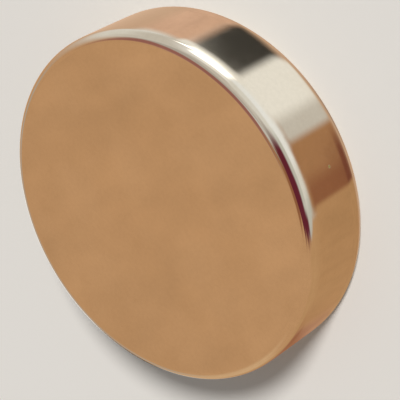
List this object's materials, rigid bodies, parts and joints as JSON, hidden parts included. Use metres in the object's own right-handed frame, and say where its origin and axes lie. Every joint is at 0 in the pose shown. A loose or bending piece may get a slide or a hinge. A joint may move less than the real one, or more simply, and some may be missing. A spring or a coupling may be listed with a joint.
{
  "type": "cylinder magnet",
  "caption": "Flat round magnet with a mirror-bright nickel skin and softly rounded edges, for gluing into a round pocket or holding light steel things on a bench.",
  "frame": {"origin": "centre of the lower flat face, on the magnet's own axis", "axes": "+Z along the magnet's own axis, from the lower face to the upper face; +X and +Y lie in the lower face and are alike, because the part is round"},
  "size_m": [0.02, 0.02, 0.005],
  "materials": {
    "nickel_plating": "polished"
  },
  "bodies": {
    "root": {"magnet": "nickel_plating"}
  },
  "joints": []
}
